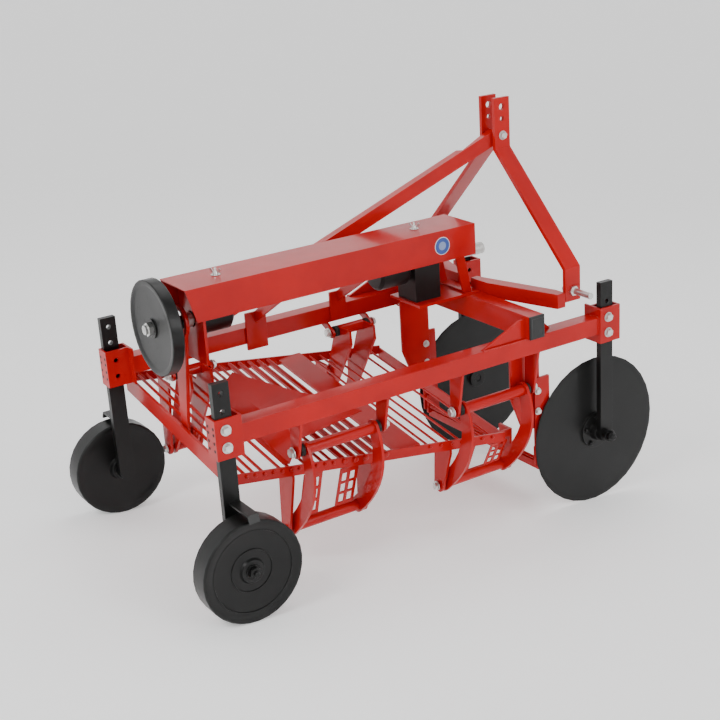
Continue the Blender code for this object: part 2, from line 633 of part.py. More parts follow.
# ---- share and its legs ---------------------------------------------------------------------
def share():
    """Share legs inside the beams, the bolted lower plates, and the blade between them."""
    start = SHARE_LEG_START
    end = start + SHARE_LEG_WIDTH
    outline = [(start, BEAM_TOP), (start, 0.290), (start + 0.042, 0.180), (end, 0.180), (end, BEAM_TOP)]
    leg = plate(outline, SHARE_PLATE, "YZ", SHARE_LEG_X)
    spacer_start = SHARE_LEG_X + SHARE_PLATE / 2 - 0.001
    spacer_end = BEAM_X - TUBE / 2 - GAP
    spacer = block((spacer_end - spacer_start, SHARE_LEG_WIDTH - 0.010, TUBE - 0.006),
                   ((spacer_start + spacer_end) / 2, (start + end) / 2, BEAM_Z))
    pair("share_leg", combine(leg, [spacer]), "red")
    rear, front = SHARE_SIDE_START, SHARE_SIDE_END
    low = 0.070
    shape = [(rear, 0.335), (rear, low), (front - 0.030, low)]
    shape += arc((front - 0.030, low + 0.030), 0.030, -90, 0, 5)
    shape += [(front, 0.335)]
    side_x = SHARE_LEG_X + SHARE_PLATE + GAP
    pair("share_side", plate(shape, SHARE_PLATE, "YZ", side_x), "red")
    slope = atan2(SHARE_TIP_Z - SHARE_REAR_Z, SHARE_TIP_Y - SHARE_REAR_Y)
    run = hypot(SHARE_TIP_Z - SHARE_REAR_Z, SHARE_TIP_Y - SHARE_REAR_Y)
    half = SHARE_HALF_WIDTH
    form = [(-half, 0), (half, 0), (half, run * 0.75), (0, run), (-half, run * 0.75)]
    blade = plate(form, SHARE_PLATE, "XY", 0)
    blade.transform(Matrix.Translation((0, SHARE_REAR_Y, SHARE_REAR_Z)) @ Matrix.Rotation(slope, 4, "X"))
    reach = side_x - SHARE_PLATE / 2 - GAP
    bar = block((2 * reach, 0.024, 0.024), (0, SHARE_REAR_Y + 0.018, SHARE_REAR_Z - 0.028))
    lugs = [block((0.010, 0.044, 0.060), (side * (reach - 0.005), SHARE_REAR_Y + 0.020, SHARE_REAR_Z + 0.004))
            for side in (-1, 1)]
    add_part("share_blade", combine(blade, [bar, *lugs]), "red")


# ---- sieve and its swing arms ---------------------------------------------------------------
def sieve_height(x, y):
    return SIEVE_Z + SIEVE_TILT_SIDE * (x - 0.25) + SIEVE_TILT_LONG * (y - 0.40)


# each swing unit: name, side, first and last plate, upper pivot
UNITS = (
    ("right_rear", 1, 0.239, 0.448, (BEAM_X - 0.016, 0.352)),
    ("right_front", 1, 0.741, 0.952, (BEAM_X - 0.016, 0.324)),
    ("left_rear", -1, 0.175, 0.240, (0.046 - BEAM_X, 0.415)),
    ("left_front", -1, 0.705, 0.790, (0.046 - BEAM_X, 0.415)),
)


def unit_ends(first, last, gap):
    """Centre planes of the plates that stand outside the two arm plates of a unit."""
    step = ARM_PLATE / 2 + gap + HANGER_PLATE / 2
    return first - step, last + step


def hanger(side, first, last, pivot):
    """Two plates under a beam with the pivot bar of a swing unit between them."""
    edges = sorted((side * (BEAM_X + TUBE / 2), side * (BEAM_X - TUBE / 2 - 0.006)))
    top = BEAM_BOTTOM - GAP
    spots = unit_ends(first, last, BUSH_GAP)
    plates = []
    for y in spots:
        outline = [(edges[0], top), *arc(pivot, 0.019, 180, 360, 8), (edges[1], top)]
        plates.append(plate(outline, HANGER_PLATE, "XZ", y))
    middle = (pivot[0], (spots[0] + spots[1]) / 2, pivot[1])
    return combine(rod(PIVOT_RADIUS, spots[1] - spots[0] + 0.026, middle, "Y", 12), plates)


def bowed(control, reach, drop, width, steps):
    """Outline of a strip of constant width along a bow from the origin to (reach, drop)."""
    left, right = [], []
    for step in range(steps + 1):
        t = step / steps
        x = 2 * t * (1 - t) * control[0] + t * t * reach
        z = 2 * t * (1 - t) * control[1] + t * t * drop
        along = Vector((2 * (1 - 2 * t) * control[0] + 2 * t * reach,
                        2 * (1 - 2 * t) * control[1] + 2 * t * drop)).normalized()
        left.append((x + along.y * width / 2, z - along.x * width / 2))
        right.append((x - along.y * width / 2, z + along.x * width / 2))
    first = atan2(right[0][1], right[0][0]) * 180 / pi
    last = atan2(left[-1][1] - drop, left[-1][0] - reach) * 180 / pi
    cap = arc((0, 0), width / 2, first, first + 180, 6)[1:-1]
    foot = arc((reach, drop), width / 2, last, last + 180, 6)[1:-1]
    return left + foot + right[::-1] + cap


def swing_arm(side, first, last):
    """Two plates joined by the upper and lower pivot tubes, drawn about the upper pivot."""
    reach, drop = -ARM_REACH, -ARM_DROP
    if side > 0:
        outline = bowed(ARM_BOW, reach, drop, ARM_WIDTH, 10)
    else:
        heading = atan2(drop, reach) * 180 / pi
        outline = [(LEFT_ARM_HEAD, 0.012), (-0.012, 0.012), (-0.020, 0.004), (-0.020, -0.010)]
        outline += arc((reach, drop), LEFT_ARM_FOOT / 2, heading - 90, heading + 90, 8)
        outline += [(LEFT_ARM_HEAD + 0.004, -0.030)]
        outline.reverse()
    plates = [plate(outline, ARM_PLATE, "XZ", y) for y in (first, last)]
    middle = (first + last) / 2
    span = last - first
    ends = ((0, 0), (reach, drop))
    tubes = [rod(ARM_TUBE, span, (x, middle, z), "Y", 16) for x, z in ends]
    bores = [rod(PIVOT_RADIUS + PIVOT_CLEAR, span + 0.1, (x, middle, z), "Y", 12) for x, z in ends]
    return combine(combine(plates[0], [plates[1], *tubes]), [together(bores)], "DIFFERENCE")


def sieve_rail(x, start, end):
    """Longitudinal side plate whose top edge follows the slope of the rods."""
    rise = RAIL_RISE
    outline = [(start, sieve_height(x, start) + rise), (start, sieve_height(x, start) - RAIL_HEIGHT + rise),
               (end, sieve_height(x, end) - RAIL_HEIGHT + rise), (end, sieve_height(x, end) + rise)]
    return plate(outline, RAIL_SHEET, "YZ", x)


def cross_rail(y, height, thickness, rise):
    """Transverse member whose top edge follows the side slope of the rods."""
    left, right = SIEVE_LEFT, SIEVE_RIGHT
    outline = [(left, sieve_height(left, y) + rise), (left, sieve_height(left, y) + rise - height),
               (right, sieve_height(right, y) + rise - height), (right, sieve_height(right, y) + rise)]
    return plate(outline, thickness, "XZ", y)


def sieve_lugs():
    """Transverse plates under the rails that hold the lower pivot bars of the swing units."""
    for name, side, first, last, pivot in UNITS:
        x = pivot[0] - ARM_REACH
        z = pivot[1] - ARM_DROP
        rail = SIEVE_RIGHT if side > 0 else SIEVE_LEFT
        spots = unit_ends(first, last, RUN_GAP)
        pieces = []
        for y in spots:
            eye = arc((x, z), 0.021, 180, 350, 8)
            edge = sieve_height(rail, y + HANGER_PLATE / 2) + RAIL_RISE - RAIL_HEIGHT - GAP
            if side < 0:
                outline = [(rail - 0.012, edge), (x - 0.021, edge - 0.060), *eye, (rail + 0.060, edge)]
            elif y > SIEVE_FRONT:
                strap_x = rail - 0.036
                edge = sieve_height(strap_x, y) - 0.004
                outline = [(strap_x - 0.050, edge), *eye, (strap_x + 0.003, edge)]
                rear = SIEVE_FRONT + RAIL_SHEET / 2 + GAP
                strap = [(rear, edge), (rear, edge - 0.022), (y, edge - 0.022), (y, edge)]
                pieces.append(plate(strap, RAIL_SHEET, "YZ", strap_x))
            else:
                outline = [(rail - 0.070, edge), *eye, (rail + 0.003, edge - 0.012), (rail + 0.003, edge)]
            pieces.append(plate(outline, HANGER_PLATE, "XZ", y))
        middle = (x, (spots[0] + spots[1]) / 2, z)
        bar = rod(PIVOT_RADIUS, spots[1] - spots[0] + 0.026, middle, "Y", 12)
        add_part("sieve_lug_" + name, combine(bar, pieces), "red")


def sieve_rods():
    """Round rods from rail to rail, left out where an arm passes through the grid."""
    left, right = SIEVE_LEFT, SIEVE_RIGHT
    arm_planes = [y for _, side, first, last, _ in UNITS for y in (first, last) if side < 0]
    rods = []
    for first, pitch, count, radius in ROD_GROUPS:
        for index in range(count):
            y = first + index * pitch
            if any(abs(y - plane) < ARM_PLATE / 2 + radius + RUN_GAP - 0.002 for plane in arm_planes):
                continue
            start = Vector((left, y, sieve_height(left, y)))
            end = Vector((right, y, sieve_height(right, y)))
            rods.append(rod(radius, (end - start).length, (start + end) / 2, end - start, 6))
    return together(rods)


def sieve_grid():
    """The shaken grid: side rails, cross rails, step plate and rods, welded into one."""
    members = [sieve_rail(x, SIEVE_REAR - 0.003, SIEVE_FRONT + 0.003) for x in (SIEVE_LEFT, SIEVE_RIGHT)]
    step_rear, step_front = STEP_PLATE
    members += [cross_rail(SIEVE_REAR, 0.050, 0.008, 0.006),
                cross_rail(SIEVE_FRONT, 0.034, RAIL_SHEET, 0.002),
                cross_rail((step_rear + step_front) / 2, 0.008, step_front - step_rear, 0.007)]
    add_part("sieve_grid", combine(members[0], [*members[1:], sieve_rods()]), "red")


def sieve_ear(foot):
    """Plate under the first rod with the pin that the connecting rod swings on."""
    x, z = foot
    y = SIEVE_REAR + 0.032
    top = sieve_height(x + 0.018, y) - ROD_RADIUS - GAP
    face = plate([(x - 0.018, z - 0.018), (x + 0.018, z - 0.018), (x + 0.018, top), (x - 0.018, top)],
                 0.010, "XZ", y)
    start = SIEVE_REAR + 0.004 + GAP
    pin = rod(0.007, y + 0.004 - start, (x, (start + y + 0.004) / 2, z), "Y", 12)
    add_part("sieve_ear", combine(face, [pin]), "red")


def conrod(foot):
    """Connecting rod from the eccentric on the flywheel down to the rear of the sieve."""
    foot_x, foot_z = foot
    y = SIEVE_REAR + 0.014
    top = (-foot_x, SHAFT_Z - foot_z)
    outline = [(-0.016, 0.0), *arc((0, 0), 0.016, 180, 360, 8), (top[0] + 0.030, top[1] - 0.030),
               *arc(top, CONROD_EYE + 0.012, -30, 210, 20), (top[0] - 0.036, top[1] - 0.030)]
    body = plate(outline, 0.010, "XZ", 0, [ring(top, CONROD_EYE, 24), ring((0, 0), 0.008, 12)])
    add_part("conrod", body, "red", (foot_x, y, foot_z))


def deflector():
    """Folded sheet that rises over the rods behind the fingers and guides the crop to the side."""
    lift = GAP + ROD_RADIUS
    sections = []
    for x, y_top, height in DEFLECTOR_SECTIONS:
        section = []
        for y, rise in ((0.206, 0), (0.226, 0), (0.262, 0.55 * height), (y_top, height)):
            section.append(Vector((x, y, sieve_height(x, y) + lift + rise)))
        sections.append(section)
    bm = bmesh.new()
    rows = [[bm.verts.new(point) for point in section] for section in sections]
    for row, following in zip(rows, rows[1:]):
        for index in range(3):
            bm.faces.new((row[index], following[index], following[index + 1], row[index + 1]))
    sheet = add_part("deflector", mesh_of(bm), "red")
    solid = sheet.modifiers.new("sheet", "SOLIDIFY")
    solid.thickness = DEFLECTOR_SHEET
    solid.offset = 1


def suspension():
    for name, side, first, last, pivot in UNITS:
        add_part("hanger_" + name, hanger(side, first, last, pivot), "red")
        add_part("swing_arm_" + name, swing_arm(side, first, last), "red", (pivot[0], 0, pivot[1]))


# ---- assembly -------------------------------------------------------------------------------
def floor_pitch():
    """Angle by which the frame stands nose up when wheels and coulters touch one floor."""
    run = FRONT_SHANK_Y - REAR_SHANK_Y
    rise = COULTER_AXLE_Z - WHEEL_RADIUS
    reach = hypot(run, rise)
    return asin((COULTER_RADIUS - WHEEL_RADIUS) / reach) - atan2(rise, run)


def rest_on_floor():
    """Put the centre of the machine's box over the origin and its lowest point on the floor."""
    bpy.context.view_layer.update()
    graph = bpy.context.evaluated_depsgraph_get()
    low = Vector((1e9, 1e9, 1e9))
    high = -low
    for part in machine.children:
        evaluated = part.evaluated_get(graph)
        for vertex in evaluated.data.vertices:
            point = evaluated.matrix_world @ vertex.co
            low = Vector(map(min, low, point))
            high = Vector(map(max, high, point))
    machine.location += Vector((-(low.x + high.x) / 2, -(low.y + high.y) / 2, -low.z))


PITCH = floor_pitch()
side_beams()
for place, end_y, direction in (("rear", BEAM_START, -1), ("front", BEAM_END, 1)):
    pair("clamp_" + place, clamp(end_y, direction), "red")
wheel_shanks()
coulter_shanks()
wheels(PITCH)
coulters(PITCH)
SHELF_TOP = crossbeam()
mast_legs()
hitch_pins()
hitch_arms()
mast_brace(0.205)
shaft_cover()
drive_carrier()
bearings(SHELF_TOP)
drive_line()
outriggers()
share()
suspension()
sieve_grid()
sieve_lugs()
sieve_ear(CONROD_FOOT)
conrod(CONROD_FOOT)
deflector()
machine.rotation_euler = (PITCH, 0, 0)
rest_on_floor()
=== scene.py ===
from math import cos, pi, radians, sin

import bmesh
import bpy
from mathutils import Matrix, Vector


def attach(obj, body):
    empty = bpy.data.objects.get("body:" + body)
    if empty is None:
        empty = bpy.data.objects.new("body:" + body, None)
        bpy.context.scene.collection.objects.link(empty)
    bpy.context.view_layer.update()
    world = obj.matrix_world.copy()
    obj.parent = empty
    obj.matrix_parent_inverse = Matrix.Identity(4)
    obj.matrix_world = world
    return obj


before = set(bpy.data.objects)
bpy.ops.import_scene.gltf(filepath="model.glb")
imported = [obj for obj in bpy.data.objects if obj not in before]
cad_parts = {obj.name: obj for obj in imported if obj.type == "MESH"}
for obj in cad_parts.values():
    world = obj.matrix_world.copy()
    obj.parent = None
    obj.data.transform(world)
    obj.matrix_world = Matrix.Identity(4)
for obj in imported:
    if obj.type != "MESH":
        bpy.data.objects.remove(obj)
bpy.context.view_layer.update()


# ---- Red frame: beams, clamps, crossbeam, mast, cover, share, hangers, arms and sieve ----
# Square tube, flat bar and folded sheet of mild steel, welded up and then powder coated in
# one glossy red. The coat has a faint orange peel and a painted highlight of lighter red along the arrises,
# with small real chips there, and is darker, rougher and less glossy in patches towards the bottom.
class Socket:
    """One output of a shader node, with which values are worked out as plain sums."""

    def __init__(self, tree, link):
        self.tree, self.link = tree, link

    def node(self, kind, settings=None, values=None, output=0):
        """Adds any node: its settings first, then a value or a link for each of its sockets."""
        made = self.tree.nodes.new(kind)
        for key, value in (settings or {}).items():
            setattr(made, key, value)
        for key, value in (values or {}).items():
            if isinstance(value, Socket):
                self.tree.links.new(value.link, made.inputs[key])
            else:
                made.inputs[key].default_value = value
        return Socket(self.tree, made.outputs[output])

    def math(self, operation, other=0.0, first=False):
        a, b = (other, self) if first else (self, other)
        return self.node("ShaderNodeMath", {"operation": operation}, {0: a, 1: b})

    def __add__(self, other):
        return self.math("ADD", other)

    def __radd__(self, other):
        return self.math("ADD", other)

    def __sub__(self, other):
        return self.math("SUBTRACT", other)

    def __rsub__(self, other):
        return self.math("SUBTRACT", other, first=True)

    def __mul__(self, other):
        return self.math("MULTIPLY", other)

    def __rmul__(self, other):
        return self.math("MULTIPLY", other)

    def noise(self, scale, detail=3.0, roughness=0.55):
        return self.node("ShaderNodeTexNoise", {}, {"Vector": self, "Scale": scale, "Detail": detail,
                                                    "Roughness": roughness})

    def steps(self, low, high):
        """0 below low, 1 above high and smooth in between."""
        return self.node("ShaderNodeMapRange", {"interpolation_type": "SMOOTHSTEP"},
                         {"Value": self, "From Min": low, "From Max": high})

    def blend(self, below, above):
        """The colour or value below where this is 0, and above where it is 1."""
        return self.node("ShaderNodeMix", {"data_type": "RGBA"},
                         {"Factor": self, 6: below, 7: above}, output=2)


def surface(name, **constants):
    """A new material: its shader, and the point being shaded in metres of the machine."""
    made = bpy.data.materials.new(name)
    made.use_nodes = True
    tree = made.node_tree
    shader = tree.nodes["Principled BSDF"]
    for key, value in constants.items():
        shader.inputs[key.replace("_", " ")].default_value = value
    place = tree.nodes.new("ShaderNodeTexCoord")
    return made, tree, shader, Socket(tree, place.outputs["Object"])


def feed(tree, shader, **values):
    for key, value in values.items():
        tree.links.new(value.link, shader.inputs[key.replace("_", " ")])


def bump(height, strength, distance):
    return height.node("ShaderNodeBump", {}, {"Height": height, "Strength": strength, "Distance": distance})


def arris_sheen_and_wear(point, radius):
    """1 on outer arrises, where a bevelled normal leaves the true one, and 0 on flats."""
    soft = point.node("ShaderNodeBevel", {"samples": 4}, {"Radius": radius})
    true = point.node("ShaderNodeNewGeometry", {}, {}, output=1)
    match = point.node("ShaderNodeVectorMath", {"operation": "DOT_PRODUCT"}, {0: soft, 1: true}, output=1)
    return (1 - match).steps(0.02, 0.22)


def powder_coat(name, colour, deep, low_patch_tone, roughness):
    made, tree, shader, point = surface(name, Specular_IOR_Level=0.16, Coat_Roughness=0.10, Coat_IOR=1.35)
    cloud = point.noise(7.0, 4.0).steps(0.30, 0.72)
    tone = cloud.blend(colour, deep)
    # Darker, rougher and less glossy in noise patches towards the bottom of the machine.
    height = point.node("ShaderNodeSeparateXYZ", {}, {0: point}, output=2)
    low = (1 - height.steps(0.02, 0.42)) * point.noise(38.0, 6.0, 0.7).steps(0.46, 0.72)
    edge = arris_sheen_and_wear(point, 0.0022)
    chips = edge * point.noise(160.0, 3.0).steps(0.52, 0.62)
    tone = (low * 0.28).blend(tone, low_patch_tone)
    # Painted highlight: every arris is lightened towards a brighter red. The chips below are real wear.
    tone = (edge * 0.22).blend(tone, (colour[0] * 1.2, 0.012, 0.012, 1))
    tone = (chips * 0.55).blend(tone, (0.16, 0.06, 0.045, 1))
    rough = roughness + 0.10 * point.noise(22.0, 4.0) + 0.30 * low + 0.15 * chips
    peel = point.noise(520.0, 2.0) + 0.6 * point.noise(90.0, 2.0)
    feed(tree, shader, Base_Color=tone, Roughness=rough, Coat_Weight=0.42 - 0.30 * low,
         Normal=bump(peel, 0.10, 0.0006))
    return made


red_coat = powder_coat("red_powder_coat", (0.46, 0.0, 0.0, 1), (0.37, 0.0, 0.0, 1),
                       (0.30, 0.035, 0.025, 1), 0.27)

BLACK_NODES = ("wheel_", "coulter_", "flywheel", "rear_bearing", "front_bearing")
ZINC_NODES = ("drive_shaft", "hitch_pin_left", "hitch_pin_right")


def dress(node, material, width):
    """Gives a carried-over node its finish and rolls its sharp arrises."""
    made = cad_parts[node]
    if not made.material_slots:
        made.data.materials.append(material)
    for place in made.material_slots:
        place.link = "OBJECT"
        place.material = material
    weld = made.modifiers.new("joined_corners", "WELD")
    weld.merge_threshold = 0.00002
    roll = made.modifiers.new("rolled_arrises", "BEVEL")
    roll.width, roll.segments, roll.limit_method, roll.angle_limit = width, 2, "ANGLE", radians(38)
    roll.use_clamp_overlap = True
    smooth = made.modifiers.new("even_shading", "WEIGHTED_NORMAL")
    smooth.keep_sharp = False


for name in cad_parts:
    if not name.startswith(BLACK_NODES + ZINC_NODES):
        thin = name in ("shaft_cover", "deflector", "sieve_grid")
        dress(name, red_coat, 0.0007 if thin else 0.0014)


# ---- Black parts: wheels, coulter discs, shanks, flywheel and bearing housings ----
# Pressed and cast steel in a satin black paint with a painted highlight along rims and edges and lighter
# random scuffs of real rubbing.
# The discs show faint rings from the lathe and the wheels the marks of their first turns.
def black_paint(name, base, sheen_and_rubbed_tone, roughness, ripple):
    made, tree, shader, point = surface(name, Specular_IOR_Level=0.20, Coat_Roughness=0.22, Coat_IOR=1.35)
    cloud = point.noise(12.0, 5.0)
    edge = arris_sheen_and_wear(point, 0.0026)
    scuff = point.noise(70.0, 6.0, 0.7).steps(0.56, 0.74)
    tone = cloud.steps(0.3, 0.7).blend((base, base, base * 0.98, 1),
                                       (base * 1.7, base * 1.7, base * 1.62, 1))
    # Painted highlight along every arris, mixed with lighter random scuffs that are real wear.
    tone = (edge * 0.35 + scuff * 0.18).blend(tone, (sheen_and_rubbed_tone, sheen_and_rubbed_tone, sheen_and_rubbed_tone * 0.95, 1))
    rough = roughness + 0.18 * cloud + 0.12 * scuff
    grain = point.noise(340.0, 3.0) + ripple * point.noise(46.0, 2.0)
    feed(tree, shader, Base_Color=tone, Roughness=rough, Coat_Weight=0.30 - 0.2 * scuff,
         Normal=bump(grain, 0.12, 0.0006))
    return made


satin_black = black_paint("satin_black_paint", 0.0030, 0.020, 0.30, 0.4)
disc_black = black_paint("disc_black_paint", 0.0034, 0.022, 0.36, 1.2)
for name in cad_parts:
    if name.startswith(("coulter_left", "coulter_right", "wheel_left", "wheel_right")):
        dress(name, disc_black, 0.0016)
    elif name.startswith(BLACK_NODES):
        dress(name, satin_black, 0.0014)


# ---- Drive shaft and hitch pins ----
# Turned steel with a bright zinc plating, slightly cloudy and with fine turning marks. The
# shaft runs in its two bearings, and each pin sits in the leg of the mast against its collar.
def zinc_plate(name, shade, roughness):
    made, tree, shader, point = surface(name, Metallic=1.0)
    cloud = point.noise(85.0, 5.0, 0.65)
    spots = point.noise(260.0, 4.0).steps(0.60, 0.72)
    tone = cloud.steps(0.3, 0.7).blend((shade, shade, shade * 0.98, 1),
                                       (shade * 0.78, shade * 0.78, shade * 0.75, 1))
    tone = (spots * 0.4).blend(tone, (0.30, 0.28, 0.25, 1))
    feed(tree, shader, Base_Color=tone, Roughness=roughness + 0.22 * cloud + 0.15 * spots,
         Normal=bump(point.noise(620.0, 2.0), 0.12, 0.0004))
    return made


zinc = zinc_plate("zinc_plate", 0.72, 0.20)
for name in ZINC_NODES:
    dress(name, zinc, 0.0010)


# ---- Clamp bolts ----
# Two hexagon bolts with washers go in through the outboard face of each end clamp and the
# holes of its shank. They are of zinc plated steel.
nose_up = radians(4.8597)
parked = Matrix.Translation((0, -0.646431, 0.000338)) @ Matrix.Rotation(nose_up, 4, "X")


def rings(mesh, sides, levels, place, twist=0.0):
    """A closed turned or prismatic solid about Z, from (radius, height) pairs."""
    rows = []
    for radius, height in levels:
        rows.append([mesh.verts.new(place @ Vector((radius * cos(twist + 2 * pi * k / sides),
                                                    radius * sin(twist + 2 * pi * k / sides), height)))
                     for k in range(sides)])
    for lower, upper in zip(rows, rows[1:]):
        for k in range(sides):
            mesh.faces.new((lower[k], lower[k - 1], upper[k - 1], upper[k])[::-1])
    mesh.faces.new(rows[0][::-1])
    mesh.faces.new(rows[-1])


def facing(spot, direction):
    """Where a fastener stands: at a spot of the machine, pointing away along a direction."""
    turn = Vector(direction).to_track_quat("Z", "Y").to_matrix().to_4x4()
    return parked @ Matrix.Translation(spot) @ turn


def finished(name, mesh, material, body, width=0.0):
    """Turns a mesh into a named piece of the machine that rides on a body."""
    data = bpy.data.meshes.new(name)
    bmesh.ops.recalc_face_normals(mesh, faces=mesh.faces)
    mesh.to_mesh(data)
    mesh.free()
    data.materials.append(material)
    made = bpy.data.objects.new(name, data)
    bpy.context.scene.collection.objects.link(made)
    if width:
        roll = made.modifiers.new("rolled_arrises", "BEVEL")
        roll.width, roll.segments, roll.limit_method, roll.angle_limit = width, 2, "ANGLE", radians(40)
        made.modifiers.new("even_shading", "WEIGHTED_NORMAL")
    for face in data.polygons:
        face.use_smooth = bool(width)
    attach(made, body)
    return made


thread_pitch = 0.0016


def bolt(mesh, place, size, thread=0.0):
    """Washer and chamfered hexagon head, or a nut with the bolt's thread standing out."""
    rings(mesh, 24, [(size * 1.12, 0.0), (size * 1.15, size * 0.05), (size * 1.15, size * 0.13),
                     (size * 1.10, size * 0.18)], place)
    rings(mesh, 6, [(size * 0.88, size * 0.18), (size * 0.94, size * 0.24), (size * 0.94, size * 0.72),
                    (size * 0.80, size * 0.84)], place, 0.3)
    if thread:
        turns = int(thread / thread_pitch)
        levels = [(size * 0.48, size * 0.80)]
        for k in range(turns):
            levels += [(size * 0.50, size * 0.84 + k * thread_pitch),
                       (size * 0.44, size * 0.84 + (k + 0.5) * thread_pitch)]
        rings(mesh, 14, levels + [(size * 0.36, size * 0.86 + turns * thread_pitch)], place)
    else:
        raised_disc = [(size * 0.62, size * 0.82), (size * 0.60, size * 0.87), (size * 0.42, size * 0.88)]
        rings(mesh, 18, raised_disc, place)


def bolts(name, body, spots, size, thread=0.0):
    mesh = bmesh.new()
    for spot, direction in spots:
        bolt(mesh, facing(spot, direction), size, thread)
    return finished(name, mesh, zinc, body)


rear_shank_y, front_shank_y, clamp_face = 0.0018, 1.2288, 0.3483
for tag, y in (("rear", rear_shank_y), ("front", front_shank_y)):
    bolts("clamp_bolts_" + tag, "frame",
          [((side * clamp_face, y, z), (side, 0, 0)) for side in (-1, 1) for z in (0.441, 0.487)], 0.0125)


# ---- Small holes on the rear clamps ----
# Two columns of small tapped holes in the rear faces of the rear clamps, made as flat discs
# that lie on the face, coloured near black as painted shade of the holes' depth.
def hole_shade_paint(name, base, roughness):
    made, tree, shader, point = surface(name, Metallic=0.4)
    grime = point.noise(90.0, 5.0)
    # The near-black tone is painted shade standing in for the inside of each hole.
    tone = grime.blend((base, base * 0.8, base * 0.75, 1), (base * 2, base * 1.5, base * 1.4, 1))
    feed(tree, shader, Base_Color=tone, Roughness=roughness + 0.2 * grime, Normal=bump(grime, 0.2, 0.0004))
    return made


hole_painted_shade = hole_shade_paint("painted_hole_shade", 0.012, 0.55)
clamp_middle, clamp_rear_y = 0.324, -0.0271
mesh = bmesh.new()
for side in (-1, 1):
    for x in (-0.014, 0.014):
        for z in (0.436, 0.456, 0.478, 0.494):
            place = facing((side * clamp_middle + x, clamp_rear_y, z), (0, -1, 0))
            rings(mesh, 16, [(0.0042, -0.0006), (0.0042, 0.0003), (0.0030, 0.0004)], place)
finished("clamp_rear_holes", mesh, hole_painted_shade, "frame")


# ---- Share bolts, mast bolt and hitch pin nuts ----
# The lower share plates are bolted to the legs so that they can be changed when worn. One
# bolt ties the mast plates to the stay, and a nut holds each lower hitch pin.
share_bolt_y, share_bolt_heights, share_bolt_size = 1.020, (0.234, 0.296), 0.0095
bolts("share_side_bolts", "frame", [((side * 0.2815, share_bolt_y, z), (side, 0, 0))
                                    for side in (-1, 1) for z in share_bolt_heights], share_bolt_size)
bolts("share_side_nuts", "frame", [((side * 0.2648, share_bolt_y, z), (-side, 0, 0))
                                   for side in (-1, 1) for z in share_bolt_heights], share_bolt_size, 0.006)
bolts("mast_bolt", "frame", [((0.0362, 1.112, 0.985), (1, 0, 0))], 0.0115)
bolts("mast_nut", "frame", [((-0.0362, 1.112, 0.985), (-1, 0, 0))], 0.0115, 0.006)
bolts("hitch_pin_nuts", "frame",
      [((side * 0.3100, 1.112, 0.588), (-side, 0, 0)) for side in (-1, 1)], 0.0140, 0.005)


# ---- Swing unit bolts and bushes ----
# Each arm turns on a long bolt through the hanger plates, with a black rubber bush on both
# sides to take up the side play. The lower bars have the same bolts.
def rubber(name):
    made, tree, shader, point = surface(name, Specular_IOR_Level=0.3)
    bloom = point.noise(60.0, 5.0)
    tone = bloom.steps(0.35, 0.7).blend((0.008, 0.008, 0.008, 1), (0.030, 0.029, 0.027, 1))
    feed(tree, shader, Base_Color=tone, Roughness=0.55 + 0.25 * bloom,
         Normal=bump(point.noise(420.0, 3.0), 0.25, 0.0005))
    return made


black_rubber = rubber("black_rubber")
arm_reach, arm_drop = 0.105, 0.262
# name, side, rear and front arm plate, and the x and height of the upper pivot
units = (("right_rear", 1, 0.239, 0.448, 0.300, 0.352),
         ("right_front", 1, 0.741, 0.952, 0.300, 0.324),
         ("left_rear", -1, 0.175, 0.240, -0.270, 0.415),
         ("left_front", -1, 0.705, 0.790, -0.270, 0.415))
for tag, side, first, last, x, z in units:
    ends = (first - 0.035, last + 0.035)
    bolts("hanger_bolt_" + tag, "frame", [((x, ends[0], z), (0, -1, 0))], 0.0130)
    bolts("hanger_nut_" + tag, "frame", [((x, ends[1], z), (0, 1, 0))], 0.0125, 0.004)
    mesh = bmesh.new()
    for y, way in ((first - 0.0045, -1), (last + 0.0045, 1)):
        rings(mesh, 28, [(0.0150, 0.0), (0.0165, 0.0012), (0.0150, 0.0045), (0.0165, 0.0085),
                         (0.0165, 0.0120), (0.0145, 0.0134)], facing((x, y, z), (0, way, 0)))
    finished("hanger_bushes_" + tag, mesh, black_rubber, "frame", width=0.0006)
    foot = (x - arm_reach, z - arm_drop)
    bolts("lug_bolt_" + tag, "sieve", [((foot[0], first - 0.025, foot[1]), (0, -1, 0))], 0.0120)
    bolts("lug_nut_" + tag, "sieve", [((foot[0], last + 0.025, foot[1]), (0, 1, 0))], 0.0115, 0.004)


# ---- Perforated lug plates and rod ends ----
# Short steel plates slope from under the right sieve rail towards the pivot bars, punched with
# two columns of square holes. The rod ends stand through the rail as rounded studs.
def slope_height(x, y):
    """Height of the rod centres of the sieve, which slopes to the right and to the front."""
    return 0.260 - 0.150 * (x - 0.250) - 0.150 * (y - 0.400)


